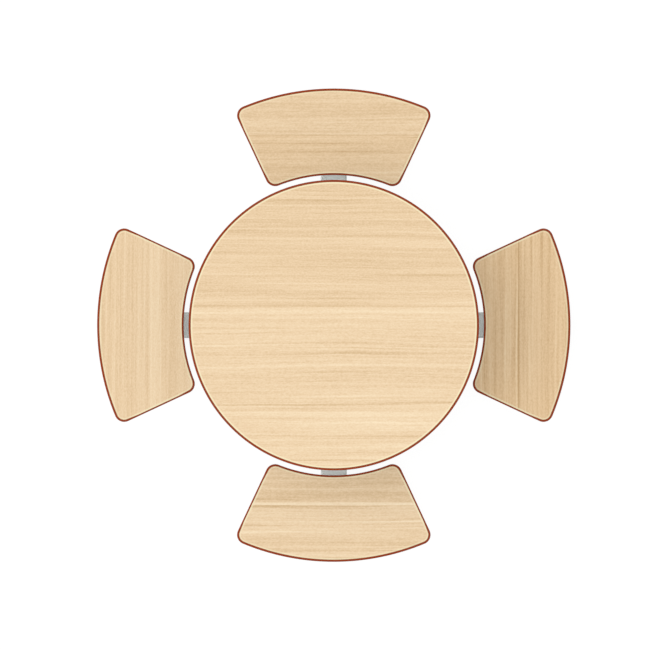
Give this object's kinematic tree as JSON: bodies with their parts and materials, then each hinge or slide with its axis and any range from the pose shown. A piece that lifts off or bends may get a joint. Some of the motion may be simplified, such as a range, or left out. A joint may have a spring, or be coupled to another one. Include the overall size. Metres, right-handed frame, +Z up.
{
  "type": "table with attached swivel seats",
  "caption": "Round dining table on a steel cross base, with curved seats on its arms that swivel and turn back in line with the table's edge.",
  "frame": {"origin": "on the floor under the middle of the column", "axes": "+Z up; +X from the column out along the arm of seat 1, and the other seats follow it at quarter turns towards +Y"},
  "size_m": [1.466, 1.466, 0.74],
  "materials": {
    "wood_board": "satin laminate",
    "rust_edge": "satin",
    "grey_casting": "satin",
    "silver_coat": "fine texture",
    "bearing_plastic": "matt",
    "cap_plastic": "matt",
    "turned_steel": "turned",
    "spring_steel": "blued",
    "anchor_steel": "fine texture",
    "foot_plastic": "matt",
    "zinc_steel": "zinc plated"
  },
  "bodies": {
    "base": {"tabletop_board": "wood_board", "tabletop_edge": "rust_edge", "top_spider": "grey_casting", "column_head_plate": "silver_coat", "column": "silver_coat", "column_base_plate": "silver_coat", "arm_1": "silver_coat", "arm_2": "silver_coat", "arm_3": "silver_coat", "arm_4": "silver_coat", "post_1": "silver_coat", "post_2": "silver_coat", "post_3": "silver_coat", "post_4": "silver_coat", "bearing_blocks": "bearing_plastic", "torsion_bars": "spring_steel", "bar_anchors": "anchor_steel", "arm_end_caps": "cap_plastic"},
    "seat_1": {"seat_board_1": "wood_board", "seat_edge_1": "rust_edge", "seat_spider_1": "grey_casting", "spindle_1": "turned_steel", "retaining_key_1": "turned_steel"},
    "seat_2": {"seat_board_2": "wood_board", "seat_edge_2": "rust_edge", "seat_spider_2": "grey_casting", "spindle_2": "turned_steel", "retaining_key_2": "turned_steel"},
    "seat_3": {"seat_board_3": "wood_board", "seat_edge_3": "rust_edge", "seat_spider_3": "grey_casting", "spindle_3": "turned_steel", "retaining_key_3": "turned_steel"},
    "seat_4": {"seat_board_4": "wood_board", "seat_edge_4": "rust_edge", "seat_spider_4": "grey_casting", "spindle_4": "turned_steel", "retaining_key_4": "turned_steel"},
    "foot_1": {"foot_base_1": "foot_plastic", "foot_stud_1": "zinc_steel"},
    "foot_2": {"foot_base_2": "foot_plastic", "foot_stud_2": "zinc_steel"},
    "foot_3": {"foot_base_3": "foot_plastic", "foot_stud_3": "zinc_steel"},
    "foot_4": {"foot_base_4": "foot_plastic", "foot_stud_4": "zinc_steel"}
  },
  "joints": [
    {"name": "seat_swivel_1", "type": "hinge", "parent": "base", "child": "seat_1", "pos_m": [0.58985, 0, 0.398], "axis": [0, 0, 1], "range_deg": [-90, 90], "stiffness_Nm_per_rad": 1.9, "deforming": ["torsion_bars"]},
    {"name": "seat_swivel_2", "type": "hinge", "parent": "base", "child": "seat_2", "pos_m": [0, 0.58985, 0.398], "axis": [0, 0, 1], "range_deg": [-90, 90], "stiffness_Nm_per_rad": 1.9, "deforming": ["torsion_bars"]},
    {"name": "seat_swivel_3", "type": "hinge", "parent": "base", "child": "seat_3", "pos_m": [-0.58985, 0, 0.398], "axis": [0, 0, 1], "range_deg": [-90, 90], "stiffness_Nm_per_rad": 1.9, "deforming": ["torsion_bars"]},
    {"name": "seat_swivel_4", "type": "hinge", "parent": "base", "child": "seat_4", "pos_m": [0, -0.58985, 0.398], "axis": [0, 0, 1], "range_deg": [-90, 90], "stiffness_Nm_per_rad": 1.9, "deforming": ["torsion_bars"]},
    {"name": "foot_screw_1", "type": "slide", "parent": "base", "child": "foot_1", "axis": [0, 0, 1], "range_m": [-0.012, 0.012]},
    {"name": "foot_screw_2", "type": "slide", "parent": "base", "child": "foot_2", "axis": [0, 0, 1], "range_m": [-0.012, 0.012]},
    {"name": "foot_screw_3", "type": "slide", "parent": "base", "child": "foot_3", "axis": [0, 0, 1], "range_m": [-0.012, 0.012]},
    {"name": "foot_screw_4", "type": "slide", "parent": "base", "child": "foot_4", "axis": [0, 0, 1], "range_m": [-0.012, 0.012]}
  ]
}
